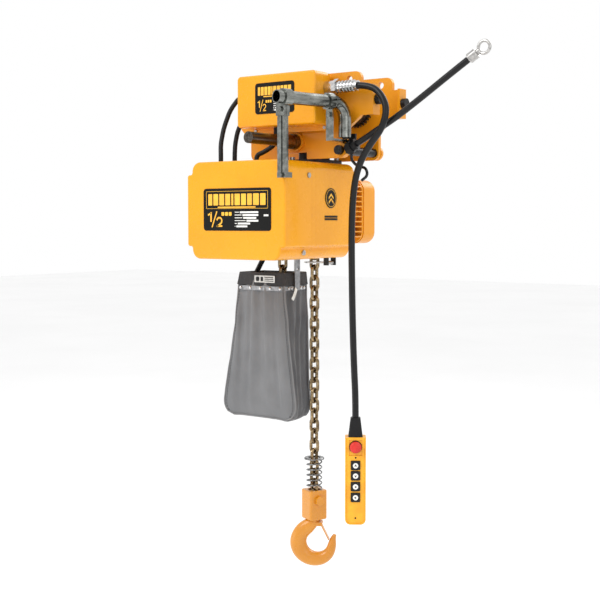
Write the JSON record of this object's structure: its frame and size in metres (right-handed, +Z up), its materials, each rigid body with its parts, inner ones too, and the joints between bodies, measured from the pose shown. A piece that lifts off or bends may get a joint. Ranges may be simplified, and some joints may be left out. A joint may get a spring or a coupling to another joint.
{
  "type": "electric chain hoist",
  "caption": "Electric chain hoist under a motor-driven beam trolley, with load hook, chain bag, tow arm and push-button pendant on a hanging cord.",
  "frame": {"origin": "middle of the four trolley wheel treads: X at the suspension shaft, Y at the beam's web, Z on top of the beam's lower flange", "axes": "+X along the beam, towards the pendant; +Y across the beam, towards the hoist motor; +Z up"},
  "size_m": [0.584, 0.3987, 0.9358],
  "materials": {
    "yellow_paint": "glossy",
    "black_paint": "satin",
    "bright_steel": "satin",
    "galvanised_steel": "zinc coated",
    "dark_steel": "machined",
    "chain_steel": "oiled",
    "black_plate": "satin",
    "black_rubber": "matte",
    "black_plastic": "matte",
    "red_plastic": "glossy",
    "grey_canvas": "coated woven"
  },
  "bodies": {
    "hoist_frame": {"near_side_plate": "yellow_paint", "far_side_plate": "yellow_paint", "wheel_axles": "bright_steel", "suspension_shaft": "bright_steel", "shaft_spacers": "bright_steel", "tie_bar": "bright_steel", "suspension_yoke": "black_paint", "bumpers": "black_rubber", "trolley_box_tray": "yellow_paint", "trolley_box_cover": "yellow_paint", "trolley_motor_case": "yellow_paint", "front_cover": "yellow_paint", "gear_cover": "yellow_paint", "main_housing": "yellow_paint", "motor_frame": "yellow_paint", "fan_cover": "yellow_paint", "label_plates": "black_plate", "casing_screws": "bright_steel", "motor_windings": "dark_steel", "bearings": "bright_steel", "control_gear": "black_paint", "chain_guide": "black_plastic", "chain_bag": "grey_canvas", "bag_frame": "bright_steel", "pendant_case": "yellow_paint", "pendant_boot": "black_rubber", "pendant_cord": "black_rubber", "power_cord": "black_rubber", "power_cord_eye": "bright_steel", "trolley_cables": "black_rubber", "pendant_gland": "bright_steel", "power_gland": "black_rubber", "tow_arm_pipe": "galvanised_steel", "tow_arm_supports": "galvanised_steel", "cord_guide_hook": "bright_steel"},
    "near_left_wheel": {"near_wheel_left": "dark_steel"},
    "near_right_wheel": {"near_wheel_right": "dark_steel"},
    "far_left_wheel": {"far_wheel_left": "dark_steel"},
    "far_right_wheel": {"far_wheel_right": "dark_steel"},
    "trolley_drive": {"trolley_drive_shaft": "dark_steel"},
    "motor": {"motor_rotor_shaft": "dark_steel", "brake_disc": "bright_steel", "cooling_fan": "black_plastic"},
    "layshaft": {"layshaft_gears": "dark_steel"},
    "sheave": {"load_sheave": "dark_steel", "output_gear": "dark_steel"},
    "load_run": {"load_chain": "chain_steel", "hook_block": "yellow_paint", "hook_bolt": "bright_steel", "chain_spring": "bright_steel"},
    "striker": {"striker_plate": "bright_steel"},
    "hook": {"load_hook": "yellow_paint"},
    "latch": {"hook_latch": "bright_steel"},
    "slack_run": {"slack_chain": "chain_steel"},
    "lever": {"limit_lever": "bright_steel"},
    "up_button": {"button_up": "black_plastic"},
    "down_button": {"button_down": "black_plastic"},
    "east_button": {"button_east": "black_plastic"},
    "west_button": {"button_west": "black_plastic"},
    "stop_button": {"emergency_stop": "red_plastic"}
  },
  "joints": [
    {"name": "trolley_drive_spin", "type": "hinge", "parent": "hoist_frame", "child": "trolley_drive", "pos_m": [0, 0.05, 0.028], "axis": [0, 1, 0], "continuous": true},
    {"name": "far_left_wheel_spin", "type": "hinge", "parent": "hoist_frame", "child": "far_left_wheel", "pos_m": [-0.062, 0.03, 0.028], "axis": [0, 1, 0], "continuous": true},
    {"name": "far_right_wheel_spin", "type": "hinge", "parent": "hoist_frame", "child": "far_right_wheel", "pos_m": [0.062, 0.03, 0.028], "axis": [0, 1, 0], "continuous": true},
    {"name": "near_left_wheel_spin", "type": "hinge", "parent": "hoist_frame", "child": "near_left_wheel", "pos_m": [-0.062, -0.03, 0.028], "axis": [0, 1, 0], "continuous": true},
    {"name": "near_right_wheel_spin", "type": "hinge", "parent": "hoist_frame", "child": "near_right_wheel", "pos_m": [0.062, -0.03, 0.028], "axis": [0, 1, 0], "continuous": true},
    {"name": "motor_spin", "type": "hinge", "parent": "hoist_frame", "child": "motor", "pos_m": [-0.0365, 0.07, -0.158], "axis": [0, -1, 0], "range_deg": [-2825.55, 1883.7]},
    {"name": "layshaft_spin", "type": "hinge", "parent": "hoist_frame", "child": "layshaft", "pos_m": [-0.08525, -0.07, -0.158], "axis": [0, -1, 0], "range_deg": [-377.74, 566.11]},
    {"name": "sheave_spin", "type": "hinge", "parent": "hoist_frame", "child": "sheave", "pos_m": [-0.0365, 0, -0.158], "axis": [0, -1, 0], "range_deg": [-141.48, 94.38]},
    {"name": "hook_lift", "type": "slide", "parent": "hoist_frame", "child": "load_run", "axis": [0, 0, 1], "range_m": [-0.0901, 0.0601]},
    {"name": "slack_travel", "type": "slide", "parent": "hoist_frame", "child": "slack_run", "axis": [0, 0, 1], "range_m": [-0.0601, 0.0901]},
    {"name": "hook_swivel", "type": "hinge", "parent": "load_run", "child": "hook", "pos_m": [0, 0, -0.72], "axis": [0, 0, 1], "continuous": true},
    {"name": "latch_pivot", "type": "hinge", "parent": "hook", "child": "latch", "pos_m": [0.01082, 0.00625, -0.7435], "axis": [-0.5, 0.866, 0], "range_deg": [0, 28], "stiffness_Nm_per_rad": 0.02, "springref_deg": -17.19},
    {"name": "striker_press", "type": "slide", "parent": "load_run", "child": "striker", "axis": [0, 0, -1], "range_m": [0, 0.022], "stiffness_N_per_m": 900, "deforming": ["chain_spring"]},
    {"name": "limit_lever_pivot", "type": "hinge", "parent": "hoist_frame", "child": "lever", "pos_m": [0.034, 0, -0.25225], "axis": [0, 1, 0], "range_deg": [0, 7], "stiffness_Nm_per_rad": 0.6},
    {"name": "up_button_press", "type": "slide", "parent": "hoist_frame", "child": "up_button", "axis": [-0.5592, 0.829, 0], "range_m": [0, 0.0025], "stiffness_N_per_m": 800},
    {"name": "down_button_press", "type": "slide", "parent": "hoist_frame", "child": "down_button", "axis": [-0.5592, 0.829, 0], "range_m": [0, 0.0025], "stiffness_N_per_m": 800},
    {"name": "east_button_press", "type": "slide", "parent": "hoist_frame", "child": "east_button", "axis": [-0.5592, 0.829, 0], "range_m": [0, 0.0025], "stiffness_N_per_m": 800},
    {"name": "west_button_press", "type": "slide", "parent": "hoist_frame", "child": "west_button", "axis": [-0.5592, 0.829, 0], "range_m": [0, 0.0025], "stiffness_N_per_m": 800},
    {"name": "stop_press", "type": "slide", "parent": "hoist_frame", "child": "stop_button", "axis": [-0.5592, 0.829, 0], "range_m": [0, 0.003], "stiffness_N_per_m": 1200}
  ],
  "couplings": [
    {"joint": "far_left_wheel_spin", "follows": "trolley_drive_spin", "ratio": -0.9375},
    {"joint": "far_right_wheel_spin", "follows": "trolley_drive_spin", "ratio": -0.9375},
    {"joint": "layshaft_spin", "follows": "motor_spin", "ratio": -0.2},
    {"joint": "sheave_spin", "follows": "motor_spin", "ratio": 0.05},
    {"joint": "hook_lift", "follows": "motor_spin", "m_per_rad": 0.001825},
    {"joint": "slack_travel", "follows": "motor_spin", "m_per_rad": -0.001825}
  ]
}
